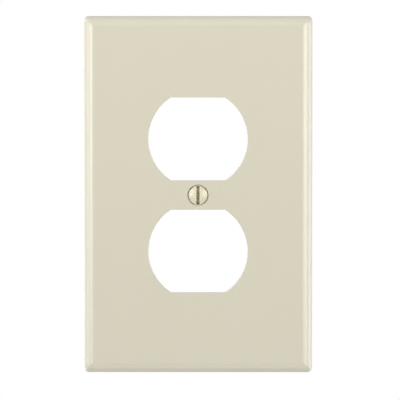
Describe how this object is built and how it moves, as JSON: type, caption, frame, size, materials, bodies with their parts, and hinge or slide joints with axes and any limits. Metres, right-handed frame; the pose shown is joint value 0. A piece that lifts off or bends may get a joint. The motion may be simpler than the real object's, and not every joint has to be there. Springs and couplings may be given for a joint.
{
  "type": "wall plate cover",
  "caption": "Moulded plastic wall plate for a duplex receptacle, with rolled edges, a hollow ribbed back and a slotted oval-head screw through its middle.",
  "frame": {"origin": "on the screw's axis, in the plane of the wall that the plate's back rim rests on", "axes": "+Z along the plate's length, upwards; +Y into the wall, so the front faces -Y; +X to the right as seen from the front"},
  "size_m": [0.0794, 0.0136, 0.1238],
  "materials": {
    "plate_plastic": "satin",
    "screw_paint": "satin"
  },
  "bodies": {
    "plate": {"wall_plate": "plate_plastic"},
    "screw": {"mounting_screw": "screw_paint"}
  },
  "joints": [
    {"name": "screw_turn", "type": "hinge", "parent": "plate", "child": "screw", "pos_m": [0, 0, 0], "axis": [0, 1, 0], "continuous": true}
  ]
}
